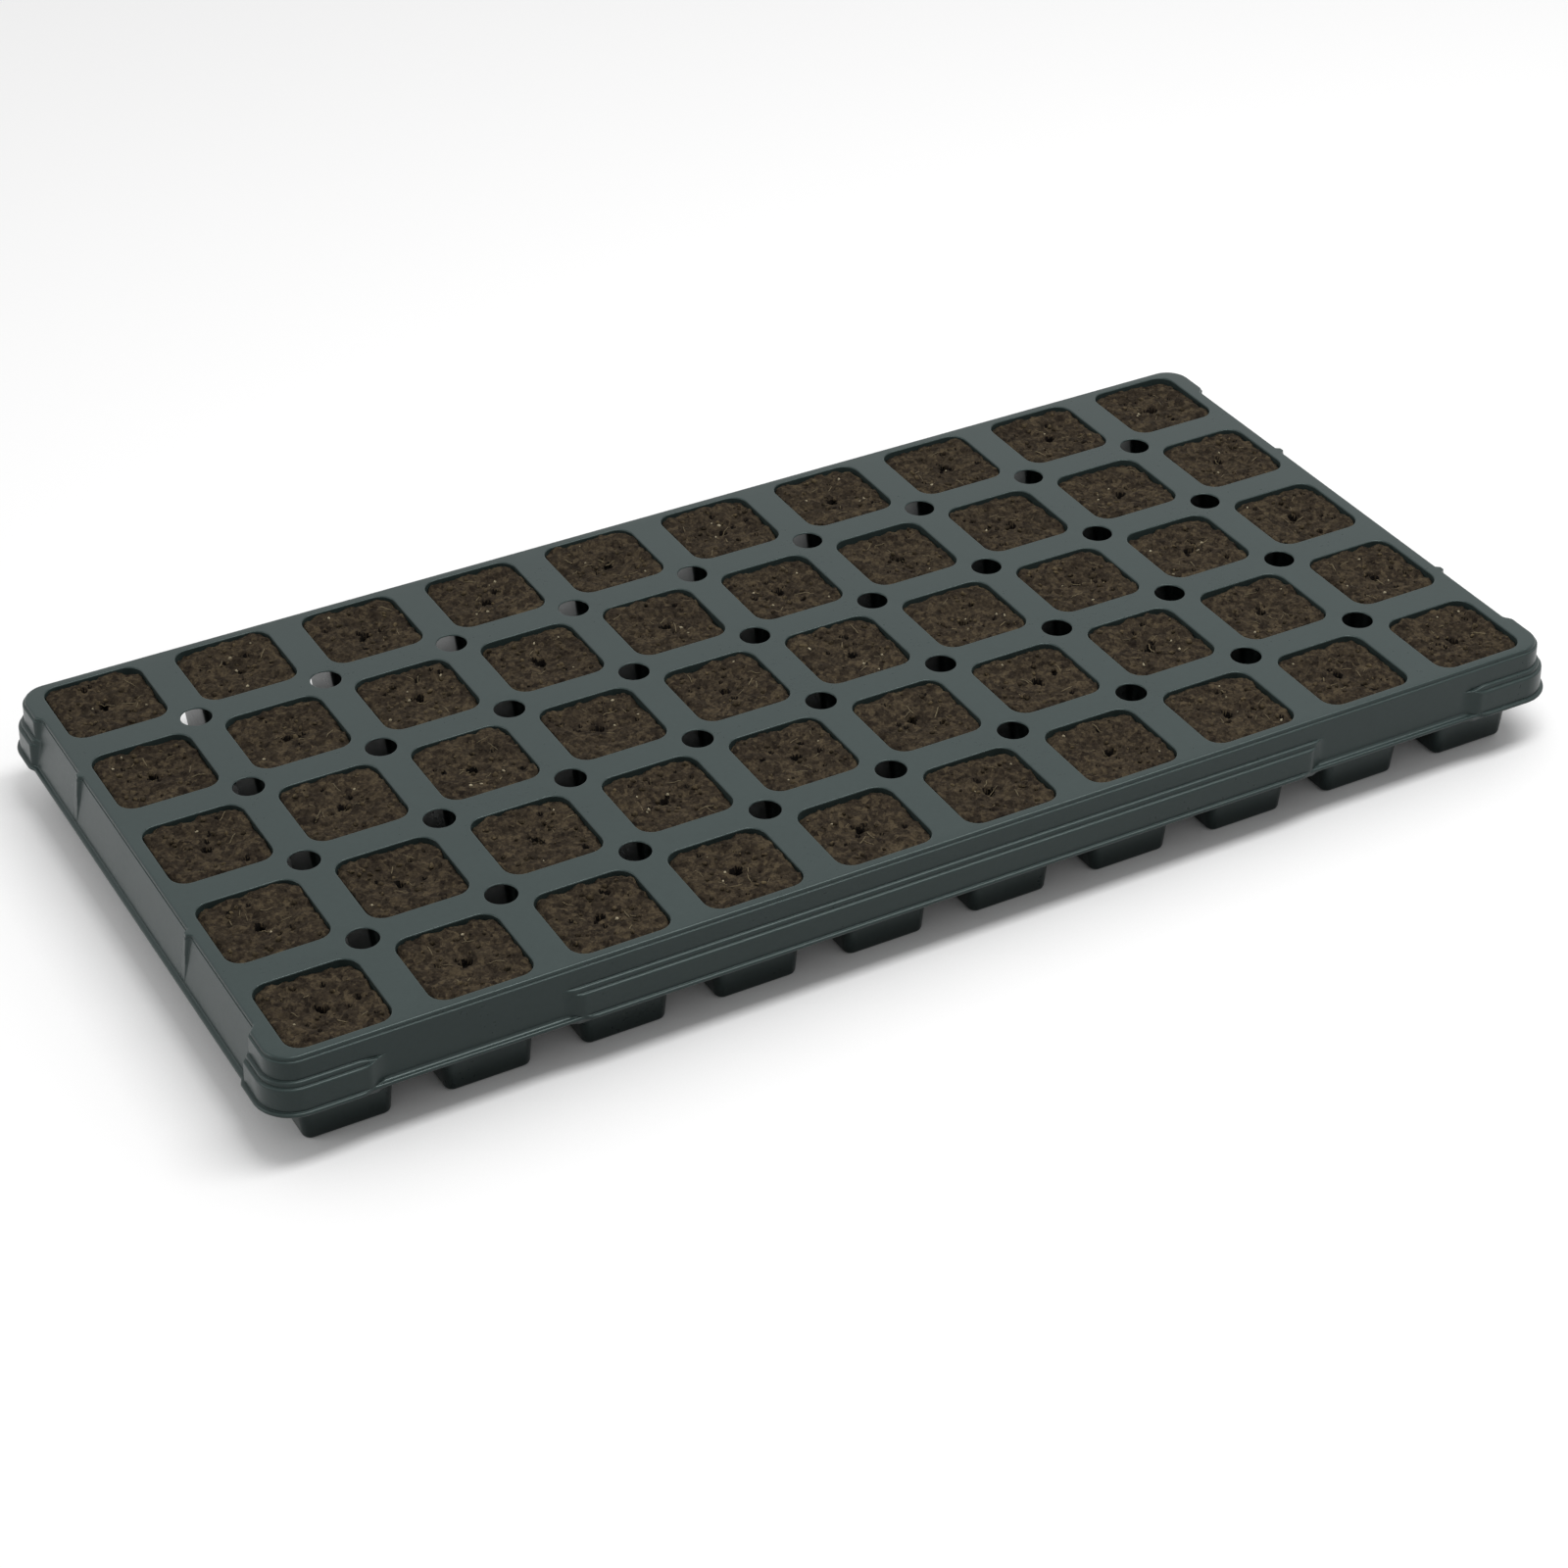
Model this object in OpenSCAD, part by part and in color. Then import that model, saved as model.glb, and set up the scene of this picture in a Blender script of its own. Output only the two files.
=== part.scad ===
// Seed tray: one moulded sheet of tapered cells, with a plug of growing medium in every cell.
// Origin under the middle of the tray, on the surface that it stands on. X runs along it, Z is up.

/* [Cells] */
// Number of cells along the length
columns = 10; // [8:1:10]
// Number of cells across the width
rows = 5; // [4:1:5]
// Distance between the centres of neighbouring cells
cell_pitch = 52.8; // [50:0.1:60]
// Inside width of a cell at the deck
cell_mouth = 39; // [36:0.5:41]
// Inside width of a cell at its floor
cell_floor = 30.7; // [29:0.1:33]
// Inside corner radius of a cell at the deck
cell_mouth_r = 6.5; // [6:0.1:9]
// Height of the tray, from the undersides of the cells to the top of the deck
tray_h = 43; // [38:0.5:60]
// Thickness of the moulded sheet
wall = 1; // [0.8:0.1:1.4]
// Bevel round the foot of each cell
foot_bevel = 0.8; // [0.4:0.1:0.8]
// Diameter of the drain hole in each cell floor
drain_d = 10; // [6:0.5:16]
// Diameter of the air holes where four cells meet
vent_d = 12; // [8:0.5:13]

/* [Rim] */
// Flat deck outside the outer cells along the long sides
long_border = 3.7; // [3:0.1:8]
// Flat deck outside the outer cells at the corner blocks of the short sides
short_border = 7.7; // [6:0.1:12]
// Depth of the rim below the top of the deck
rim_h = 23.3; // [20:0.1:30]
// Corner radius of the deck
deck_corner_r = 10; // [6:0.5:14]
// Slope of the rim's walls, in degrees from upright
rim_draft = 2; // [1:0.5:4]
// Height of the lip round the edge of the deck
lip_h = 1.5; // [1:0.1:2.5]
// Tread of the small step under the lip
lip_tread = 0.8; // [0.5:0.1:1.5]
// Depth of the double step half way down the rim, below the deck
step_drop = 9; // [7:0.1:11]
// Tread of each half of the double step
step_tread = 1.2; // [0.8:0.1:1.8]
// Riser between the halves of the double step
step_riser = 2; // [1.5:0.1:3]
// Height of the bead along the bottom edge
bead_h = 3; // [2:0.1:4]
// How far the bead stands out from the wall above it
bead_out = 1.3; // [0.8:0.1:2]
// How far the bead is set in along the plain stretches
bead_set_in = 1.3; // [0.5:0.1:2]

/* [Rim blocks] */
// Length of a stepped corner block along the long side
corner_block_x = 40; // [34:1:44]
// Length of a stepped corner block along the short side
corner_block_y = 24; // [20:1:28]
// Length of the plain stretch between a corner block and the middle block
plain_stretch = 65; // [40:1:75]
// Run over which a block of the long sides fades into the plain wall
block_ramp = 8; // [4:0.5:10]
// Run over which a corner block falls back to the short panel
panel_ramp = 4; // [2:0.5:6]
// How far the top of a short panel is set in from the corner blocks
panel_set_in = 2.4; // [1:0.1:4]
// How far a short panel leans out from its top to the bead
panel_lean = 4.6; // [3:0.1:6]
// Tread of the small step under the lip of a short panel
panel_lip_tread = 0.3; // [0.2:0.1:0.8]
// Width of a gusset where it meets a short panel
gusset_w = 4.4; // [4:0.1:8]
// Run over which each side of a gusset slopes up to its crest
gusset_ramp = 1.4; // [0.5:0.1:1.8]
// How far a gusset stands out at the deck
gusset_out = 1.7; // [1.2:0.1:2.2]
// Distance from the middle of the tray to the farther gusset of each short panel
gusset_far = 64; // [58:0.5:66]
// Distance from the middle of the tray to the nearer gusset of each short panel
gusset_near = 46.5; // [40:0.5:54]

/* [Plugs] */
// Gap between a plug and the cell walls
plug_clearance = 0.3; // [0.2:0.05:0.6]
// Depth of the plug's edge below the deck
plug_recess = 1.5; // [1:0.1:6]
// Depth of the hollow in the top of a plug
dish_depth = 1.7; // [1:0.1:4]
// Flat margin between the hollow and the side of a plug
dish_margin = 2.5; // [1:0.1:5]
// Diameter of the seed hole in a plug
seed_hole_d = 4; // [3:0.5:8]
// Depth of the seed hole below the hollow
seed_hole_depth = 8; // [4:0.5:14]

/* [Hidden] */
$fn = 48;
// Amount by which a cutting shape runs past the face that it cuts
past = 1;

cell_x = [for (c = [1 : columns]) (c - (columns + 1) / 2) * cell_pitch];
cell_y = [for (r = [1 : rows]) (r - (rows + 1) / 2) * cell_pitch];

// The corner centres of a cell stay in place from floor to deck and only the radius grows
cell_corner = cell_mouth / 2 - cell_mouth_r;
cell_floor_r = cell_floor / 2 - cell_corner;
cell_slope = (cell_mouth_r - cell_floor_r) / (tray_h - wall);
function cell_r(z) = cell_floor_r + cell_slope * (z - wall);

// Half sizes of the deck at its corner blocks
deck_x = cell_x[columns - 1] + cell_mouth / 2 + short_border;
deck_y = cell_y[rows - 1] + cell_mouth / 2 + long_border;
deck_corner = [deck_x - deck_corner_r, deck_y - deck_corner_r];

// Rim profiles, as [outward from the edge of the deck, down from the deck]
draft = tan(rim_draft);
bead_top = rim_h - bead_h;
step_low = step_drop + step_riser;
plain_out = lip_tread + draft * bead_top;
stepped_out = plain_out + 2 * step_tread;
bead_edge = stepped_out + bead_out;
panel_foot = panel_lean - panel_set_in;
lip_profile = [[0, 0], [draft * lip_h, lip_h], [draft * lip_h + lip_tread, lip_h]];
stepped_profile = concat(lip_profile, [
    [lip_tread + draft * step_drop, step_drop],
    [lip_tread + draft * step_drop + step_tread, step_drop],
    [lip_tread + draft * step_low + step_tread, step_low],
    [lip_tread + draft * step_low + 2 * step_tread, step_low],
    [stepped_out, bead_top],
    [bead_edge, bead_top],
    [bead_edge, rim_h]
]);
plain_profile = concat(lip_profile, [
    [plain_out, bead_top],
    [bead_edge - bead_set_in, bead_top],
    [bead_edge - bead_set_in, rim_h]
]);
panel_profile = [
    [-panel_set_in, 0],
    [draft * lip_h - panel_set_in, lip_h],
    [draft * lip_h + panel_lip_tread - panel_set_in, lip_h],
    [panel_foot, bead_top],
    [bead_edge - bead_set_in, bead_top],
    [bead_edge - bead_set_in, rim_h]
];

// Ends of the rim blocks in plan
middle_block_x = deck_x - corner_block_x - plain_stretch;
ramp_run = block_ramp * (bead_edge - plain_out) / (2 * step_tread);

function two_digits(n) = str(n < 10 ? "0" : "", n);
function plug_name(r, c) = str("plug_row", r, "_col", two_digits(c));

// Square post with round corners that widens from r_low at the bottom to r_top at the top
module tapered_post(corner, r_low, r_top, height) {
    side = [
        [-corner - r_low, 0],
        [corner + r_low, 0],
        [corner + r_top, height],
        [-corner - r_top, height]
    ];
    for (x = [-corner, corner], y = [-corner, corner])
        translate([x, y, 0]) cylinder(r1 = r_low, r2 = r_top, h = height);
    for (turn = [0, 90])
        rotate([90, 0, turn]) linear_extrude(2 * corner, center = true) polygon(side);
}

module at_cells() {
    for (x = cell_x, y = cell_y)
        translate([x, y, 0]) children();
}

// The outside of a cell, with its bevelled foot
module cell_outside() {
    foot_r = cell_r(wall) + wall;
    tapered_post(cell_corner, foot_r - foot_bevel, foot_r + cell_slope * foot_bevel, foot_bevel);
    translate([0, 0, foot_bevel])
        tapered_post(cell_corner, foot_r + cell_slope * foot_bevel, cell_r(tray_h + wall) + wall,
            tray_h - foot_bevel);
}

// The hollow of a cell, open through the deck
module cell_hollow() {
    translate([0, 0, wall])
        tapered_post(cell_corner, cell_floor_r, cell_r(tray_h + past), tray_h + past - wall);
}

// Both sides of a rim profile as one closed outline, set in and lowered by inset
function both_sides(profile, half, inset) = concat(
    [for (p = profile) [half + p[0] - inset, -p[1] - inset]],
    [for (i = [len(profile) - 1 : -1 : 0]) [inset - half - profile[i][0], -profile[i][1] - inset]]
);

// Bar with the same profile along both long sides, or along both short sides
module long_bar(profile, half_length, inset) {
    rotate([90, 0, 90])
        linear_extrude(2 * half_length, center = true) polygon(both_sides(profile, deck_y, inset));
}

module short_bar(profile, half_length, inset) {
    rotate([90, 0, 0])
        linear_extrude(2 * half_length, center = true) polygon(both_sides(profile, deck_x, inset));
}

// The stepped rim carried all round, with its round corners
module stepped_form(inset) {
    corner_outline = concat(
        [for (p = stepped_profile) [deck_corner_r + p[0] - inset, -p[1] - inset]],
        [[0, -rim_h - inset], [0, -inset]]
    );
    long_bar(stepped_profile, deck_corner[0], inset);
    short_bar(stepped_profile, deck_corner[1], inset);
    for (x = [0, 1], y = [0, 1])
        mirror([x, 0, 0]) mirror([0, y, 0]) translate(deck_corner)
            rotate_extrude(angle = 90) polygon(corner_outline);
}

// Plan of the stepped blocks: one in the middle of the long sides and one at each corner
module block_plan(inset) {
    wall_y = deck_y + plain_out - inset;
    edge_y = deck_y + bead_edge - inset;
    edge_x = deck_x + bead_edge - inset;
    panel_x = deck_x - panel_set_in - inset;
    block_x = deck_x - corner_block_x;
    block_y = deck_y - corner_block_y + inset;
    for (y = [0, 1]) mirror([0, y]) {
        polygon([
            [-middle_block_x, 0],
            [middle_block_x, 0],
            [middle_block_x, wall_y],
            [middle_block_x - ramp_run, edge_y],
            [ramp_run - middle_block_x, edge_y],
            [-middle_block_x, wall_y]
        ]);
        for (x = [0, 1]) mirror([x, 0])
            polygon([
                [block_x, block_y],
                [panel_x, block_y],
                [edge_x, block_y + panel_ramp],
                [edge_x, edge_y],
                [block_x + ramp_run, edge_y],
                [block_x, wall_y]
            ]);
    }
}

// Gussets that brace the short panels, with sloping sides and a crest that runs down to the bead
module gussets() {
    crest = gusset_w / 2 - gusset_ramp;
    side = [[-wall, 0], [gusset_out, 0], [panel_lean, -bead_top], [panel_lean - wall, -bead_top]];
    plan = [
        [-wall, -gusset_w / 2],
        [0, -gusset_w / 2],
        [gusset_out, -crest],
        [gusset_out, crest],
        [0, gusset_w / 2],
        [-wall, gusset_w / 2]
    ];
    for (turn = [0, 180], y = [-gusset_far, gusset_near])
        rotate([0, 0, turn]) translate([deck_x - panel_set_in, y, tray_h]) intersection() {
            rotate([90, 0, 0]) linear_extrude(gusset_w, center = true) polygon(side);
            rotate([0, -atan2(panel_lean, bead_top), 0]) translate([0, 0, -2 * rim_h])
                linear_extrude(3 * rim_h) polygon(plan);
        }
}

// The block that the rim and deck are the skin of
module rim_form(inset) {
    translate([0, 0, tray_h]) {
        long_bar(plain_profile, deck_corner[0], inset);
        short_bar(panel_profile, deck_corner[1], inset);
        intersection() {
            stepped_form(inset);
            translate([0, 0, -rim_h - 2 * wall])
                linear_extrude(rim_h + 3 * wall) block_plan(inset);
        }
    }
}

module tray() {
    color("#4e5a5a") difference() {
        union() {
            difference() {
                rim_form(0);
                rim_form(wall);
            }
            gussets();
            at_cells() cell_outside();
        }
        at_cells() {
            cell_hollow();
            translate([0, 0, -past]) cylinder(d = drain_d, h = wall + 2 * past);
        }
        for (c = [1 : columns - 1], r = [1 : rows - 1])
            translate([cell_x[c] - cell_pitch / 2, cell_y[r] - cell_pitch / 2, tray_h - wall - past])
                cylinder(d = vent_d, h = wall + 2 * past);
    }
}

// A plug of growing medium, standing on the floor of its cell
module plug(r, c) {
    top = tray_h - plug_recess;
    dish_r = cell_corner + cell_r(top) - plug_clearance - dish_margin;
    seed_hole_r = seed_hole_d / 2;
    color("#3a2f26") translate([cell_x[c - 1], cell_y[r - 1], 0]) difference() {
        translate([0, 0, wall])
            tapered_post(cell_corner, cell_floor_r - plug_clearance, cell_r(top) - plug_clearance,
                top - wall);
        translate([0, 0, top - dish_depth])
            cylinder(r1 = seed_hole_r, r2 = dish_r, h = dish_depth);
        translate([0, 0, top - dish_depth - seed_hole_depth])
            cylinder(r1 = seed_hole_r / 2, r2 = seed_hole_r, h = seed_hole_depth);
    }
}

tray();
for (r = [1 : rows], c = [1 : columns])
    plug(r, c);
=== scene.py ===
"""Looks of the seed tray: the moulded shell with its rounded edges, and a plug of peat in every cell."""

import math
import random

import bpy
import numpy as np
from mathutils import Matrix, Vector, noise
from mathutils.geometry import delaunay_2d_cdt


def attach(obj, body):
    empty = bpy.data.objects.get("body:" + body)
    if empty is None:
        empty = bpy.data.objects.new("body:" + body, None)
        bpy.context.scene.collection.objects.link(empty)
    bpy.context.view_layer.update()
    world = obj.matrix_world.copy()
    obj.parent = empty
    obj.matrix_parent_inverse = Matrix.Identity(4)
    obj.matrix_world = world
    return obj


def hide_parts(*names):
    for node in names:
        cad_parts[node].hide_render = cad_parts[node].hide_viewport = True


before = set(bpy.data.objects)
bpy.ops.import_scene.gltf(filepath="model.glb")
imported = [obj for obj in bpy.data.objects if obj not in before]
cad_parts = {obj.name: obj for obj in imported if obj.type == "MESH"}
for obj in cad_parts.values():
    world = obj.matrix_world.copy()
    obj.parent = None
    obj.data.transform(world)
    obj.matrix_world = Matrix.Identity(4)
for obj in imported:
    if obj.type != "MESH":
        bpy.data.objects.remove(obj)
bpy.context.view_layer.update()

MM = 0.001
TINY = 1e-6
QUARTER = math.radians(90)

# Sizes of the moulded tray, in millimetres
COLUMNS, ROWS, PITCH = 10, 5, 52.8
MOUTH, FLOOR, MOUTH_R = 39.0, 30.7, 6.5
TRAY_H, WALL = 43.0, 1.0
DRAIN_R, VENT_R = 5.0, 6.0
LONG_BORDER, SHORT_BORDER = 3.7, 7.7
RIM_H, DECK_R = 23.3, 10.0
DRAFT = math.tan(math.radians(2))
LIP_H, LIP_TREAD = 1.5, 0.8
STEP_DROP, STEP_TREAD, STEP_RISER = 9.0, 1.2, 2.0
BEAD_H, BEAD_OUT, BEAD_SET_IN = 3.0, 1.3, 1.3
BEAD_FACE, BEAD_TUCK = 1.2, 2.2
CORNER_BLOCK_X, CORNER_BLOCK_Y, PLAIN_STRETCH = 40.0, 24.0, 65.0
BLOCK_RAMP, PANEL_RAMP = 8.0, 4.0
PANEL_SET_IN, PANEL_LEAN, PANEL_LIP_TREAD = 2.4, 4.6, 0.3
GUSSET_W, GUSSET_RAMP, GUSSET_OUT = 4.4, 1.4, 1.7
GUSSET_FAR, GUSSET_NEAR, GUSSET_SHOULDER = 64.0, 46.5, 0.7

# How far the moulded edges are rounded off
MOUTH_ROUND, FOOT_ROUND, VENT_ROUND = 0.6, 1.2, 0.5
# The first three corners below the deck, on the long sides, the panels and the gussets
LIP_ROUNDS = [1.0, 0.15, 0.5]
PANEL_LIP_ROUNDS = [0.8, 0.1, 0.1]
GUSSET_TOP_ROUNDS = [0.6, 0.3, 0.3]
# Crease and edge of both halves of the double step, and the same four places on a flat wall
STEP_ROUNDS = [0.15, 0.9, 0.15, 0.9]
FLAT_ROUNDS = [0.3, 0.3, 0.3, 0.3]
# Crease above the bead, edge of the bead and fold under it
BLOCK_BEAD_ROUNDS = [0.2, 0.85, 0.35]
PLAIN_BEAD_ROUNDS = [1.2, 0.85, 0.35]
PANEL_BEAD_ROUNDS = [0.5, 0.85, 0.35]

# Sizes of the plugs, in millimetres
PLUG_GAP, PLUG_RECESS, DISH_DEPTH, DISH_MARGIN = 0.35, 1.1, 1.7, 2.5
SEED_HOLE_R, SEED_HOLE_DEPTH = 1.8, 8.0

# Fineness of the meshes: counts, and distances in millimetres
ARC_STEPS, SIDE_STEPS = 6, 5
MOUTH_STEPS, FOOT_STEPS = 5, 3
VENT_STEPS, VENT_SIDES = 3, 24
EDGE_STEPS, CORNER_STEPS = 3, 14
LONG_STRIDE, SHORT_STRIDE = 20, 12
BLOCK_STRIDE, PANEL_STRIDE, GUSSET_STRIDE = 1.0, 0.4, 0.25
CELL_WALL_LEVELS = (32.0, 18.0)
GRID, SIDE_ROWS = 60, 9

CELL_X = [(c - (COLUMNS - 1) / 2) * PITCH for c in range(COLUMNS)]
CELL_Y = [(r - (ROWS - 1) / 2) * PITCH for r in range(ROWS)]
VENT_X = [x + PITCH / 2 for x in CELL_X[:-1]]
VENT_Y = [y + PITCH / 2 for y in CELL_Y[:-1]]
CELL_CORNER = MOUTH / 2 - MOUTH_R
FLOOR_R = FLOOR / 2 - CELL_CORNER
CELL_SLOPE = (MOUTH_R - FLOOR_R) / (TRAY_H - WALL)
DECK_X = CELL_X[-1] + MOUTH / 2 + SHORT_BORDER
DECK_Y = CELL_Y[-1] + MOUTH / 2 + LONG_BORDER


def cell_r(z):
    """Corner radius of a cell's hollow at height z."""
    return FLOOR_R + CELL_SLOPE * (z - WALL)


def smooth(t):
    """0 up to t = 0, 1 from t = 1 on, and an even curve between."""
    t = min(max(t, 0.0), 1.0)
    return t * t * (3 - 2 * t)


# The moulded shell


class Skin:
    """Points and faces of one moulded surface."""

    def __init__(self):
        self.points, self.faces = [], []

    def loop(self, points):
        """Adds points and returns their numbers."""
        start = len(self.points)
        self.points += [tuple(map(float, p)) for p in points]
        return list(range(start, len(self.points)))

    def band(self, outer, inner):
        """Faces between two closed loops that both run anticlockwise seen from above."""
        for i in range(len(outer)):
            j = (i + 1) % len(outer)
            self.faces.append((outer[i], outer[j], inner[j], inner[i]))


def square_frame():
    """Base points on a cell's square of corner centres, and the outward directions there."""
    base, out = [], []
    quadrants = [(1, 1), (-1, 1), (-1, -1), (1, -1)]
    for q, (sx, sy) in enumerate(quadrants):
        for i in range(ARC_STEPS + 1):
            a = math.radians(90 * (q + i / ARC_STEPS))
            base.append((sx * CELL_CORNER, sy * CELL_CORNER))
            out.append((math.cos(a), math.sin(a)))
        nx, ny = quadrants[(q + 1) % 4]
        for i in range(1, SIDE_STEPS):
            t = i / SIDE_STEPS
            base.append((CELL_CORNER * (sx + (nx - sx) * t), CELL_CORNER * (sy + (ny - sy) * t)))
            out.append(out[-1])
    return np.array(base), np.array(out)


SQUARE_BASE, SQUARE_OUT = square_frame()


def cell_profile():
    """(corner radius, height) from the deck down the wall of a cell to its floor."""
    slant = math.hypot(1, CELL_SLOPE)
    lean = math.atan(CELL_SLOPE)
    points = []
    top = TRAY_H - MOUTH_ROUND
    centre = cell_r(top) + MOUTH_ROUND * slant
    for i in range(MOUTH_STEPS + 1):
        a = QUARTER + (QUARTER - lean) * i / MOUTH_STEPS
        points.append((centre + MOUTH_ROUND * math.cos(a), top + MOUTH_ROUND * math.sin(a)))
    for z in CELL_WALL_LEVELS:
        points.append((cell_r(z), z))
    low = WALL + FOOT_ROUND
    centre = cell_r(low) - FOOT_ROUND * slant
    for i in range(FOOT_STEPS + 1):
        a = -lean - (QUARTER - lean) * i / FOOT_STEPS
        points.append((centre + FOOT_ROUND * math.cos(a), low + FOOT_ROUND * math.sin(a)))
    return points


CELL_PROFILE = cell_profile()
MOUTH_EDGE_R = CELL_PROFILE[0][0]


def add_cell(skin, x, y):
    """The hollow of one cell down to its drain hole. Returns its loop on the deck."""
    centre = np.array((x, y))
    mouth = previous = None
    for r, z in CELL_PROFILE:
        ring = centre + SQUARE_BASE + r * SQUARE_OUT
        loop = skin.loop([(*p, z) for p in ring])
        if previous:
            skin.band(previous, loop)
        else:
            mouth = loop
        previous = loop
    flat = SQUARE_BASE + r * SQUARE_OUT
    drain = DRAIN_R * flat / np.linalg.norm(flat, axis=1)[:, None]
    for share in (0.5, 1.0):
        loop = skin.loop([(*(centre + p), WALL) for p in flat + (drain - flat) * share])
        skin.band(previous, loop)
        previous = loop
    return mouth


def add_vent(skin, x, y):
    """The rounded edge of one air hole. Returns its loop on the deck."""
    first = previous = None
    turns = np.arange(VENT_SIDES) * 2 * math.pi / VENT_SIDES
    for i in range(VENT_STEPS + 1):
        a = math.radians(90 + 90 * i / VENT_STEPS)
        r = VENT_R + VENT_ROUND * (1 + math.cos(a))
        z = TRAY_H - VENT_ROUND * (1 - math.sin(a))
        loop = skin.loop([(x + r * math.cos(t), y + r * math.sin(t), z) for t in turns])
        if previous:
            skin.band(previous, loop)
        first, previous = first or loop, loop
    return first


def rounded_line(corners, reaches):
    """A profile whose inner corners are rounded off, starting at its first rounded corner."""
    points = []
    for i, reach in enumerate(reaches, 1):
        a, b, c = (np.array(corners[j], float) for j in (i - 1, i, i + 1))
        start = b + (a - b) / np.linalg.norm(a - b) * reach
        end = b + (c - b) / np.linalg.norm(c - b) * reach
        for s in range(EDGE_STEPS + 1):
            t = s / EDGE_STEPS
            points.append((1 - t) ** 2 * start + 2 * t * (1 - t) * b + t * t * end)
    points.append(np.array(corners[-1], float))
    return np.array(points)


# Rim profiles as (out from the edge of the deck, down from the deck)
BEAD_TOP = RIM_H - BEAD_H
STEP_LOW = STEP_DROP + STEP_RISER
PLAIN_OUT = LIP_TREAD + DRAFT * BEAD_TOP
STEPPED_OUT = PLAIN_OUT + 2 * STEP_TREAD
BEAD_EDGE = STEPPED_OUT + BEAD_OUT
SET_BACK_EDGE = BEAD_EDGE - BEAD_SET_IN
PANEL_FOOT = PANEL_LEAN - PANEL_SET_IN
PANEL_LIP_OUT = -PANEL_SET_IN + DRAFT * LIP_H
ON_DECK = (-9, 0)
# Levels on a flat wall that match the corners of the double step
FLAT_GAP = 0.8
FLAT_LEVELS = [STEP_DROP, STEP_DROP + FLAT_GAP, STEP_LOW, STEP_LOW + FLAT_GAP]


def wall_out(down):
    """Reach of the plain wall of a long side."""
    return LIP_TREAD + DRAFT * down


def panel_out(down):
    """Reach of the leaning panel of a short side."""
    top = PANEL_LIP_OUT + PANEL_LIP_TREAD
    return top + (PANEL_FOOT - top) * (down - LIP_H) / (BEAD_TOP - LIP_H)


def gusset_out(down):
    """Reach of the crest of a gusset."""
    top = -PANEL_SET_IN + GUSSET_OUT
    return top + (PANEL_FOOT - top) * down / BEAD_TOP


def bead(wall, edge):
    """Foot of a rim profile: a ledge, a short upright face and an edge rolled under."""
    face_end = BEAD_TOP + BEAD_FACE
    return [(wall, BEAD_TOP), (edge, BEAD_TOP), (edge, face_end), (edge - BEAD_TUCK, RIM_H)]


LIP = [ON_DECK, (0, 0), (DRAFT * LIP_H, LIP_H), (DRAFT * LIP_H + LIP_TREAD, LIP_H)]
DOUBLE_STEP = [
    (wall_out(STEP_DROP), STEP_DROP),
    (wall_out(STEP_DROP) + STEP_TREAD, STEP_DROP),
    (wall_out(STEP_LOW) + STEP_TREAD, STEP_LOW),
    (wall_out(STEP_LOW) + 2 * STEP_TREAD, STEP_LOW),
]
STEPPED = rounded_line(
    LIP + DOUBLE_STEP + bead(STEPPED_OUT, BEAD_EDGE),
    LIP_ROUNDS + STEP_ROUNDS + BLOCK_BEAD_ROUNDS,
)
PLAIN = rounded_line(
    LIP + [(wall_out(d), d) for d in FLAT_LEVELS] + bead(PLAIN_OUT, SET_BACK_EDGE),
    LIP_ROUNDS + FLAT_ROUNDS + PLAIN_BEAD_ROUNDS,
)
PANEL = rounded_line(
    [ON_DECK, (-PANEL_SET_IN, 0), (PANEL_LIP_OUT, LIP_H)]
    + [(panel_out(d), d) for d in (LIP_H, *FLAT_LEVELS)]
    + bead(PANEL_FOOT, SET_BACK_EDGE),
    PANEL_LIP_ROUNDS + FLAT_ROUNDS + PANEL_BEAD_ROUNDS,
)
GUSSET = rounded_line(
    [ON_DECK]
    + [(gusset_out(d), d) for d in (0, LIP_H, LIP_H + GUSSET_SHOULDER, *FLAT_LEVELS)]
    + bead(PANEL_FOOT, SET_BACK_EDGE),
    GUSSET_TOP_ROUNDS + FLAT_ROUNDS + PANEL_BEAD_ROUNDS,
)

# Where the blocks of the long sides and the panels of the short sides end
BLOCK_END = DECK_X - CORNER_BLOCK_X
MIDDLE_END = BLOCK_END - PLAIN_STRETCH
RAMP_RUN = BLOCK_RAMP * (BEAD_EDGE - PLAIN_OUT) / (2 * STEP_TREAD)
PANEL_END = DECK_Y - CORNER_BLOCK_Y
GUSSETS = (-GUSSET_FAR, GUSSET_NEAR)

# Tip of a corner block's double step: the height left there, and where it opens on the ramp
TIP_HEIGHT, TIP_END, TIP_RUN = 0.15, 0.35, 0.5
STEP_MIDDLE = STEP_DROP + STEP_RISER / 2
STEP_ROWS = (STEPPED[:, 1] > STEP_DROP - 1) & (STEPPED[:, 1] < STEP_LOW + 1)


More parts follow.
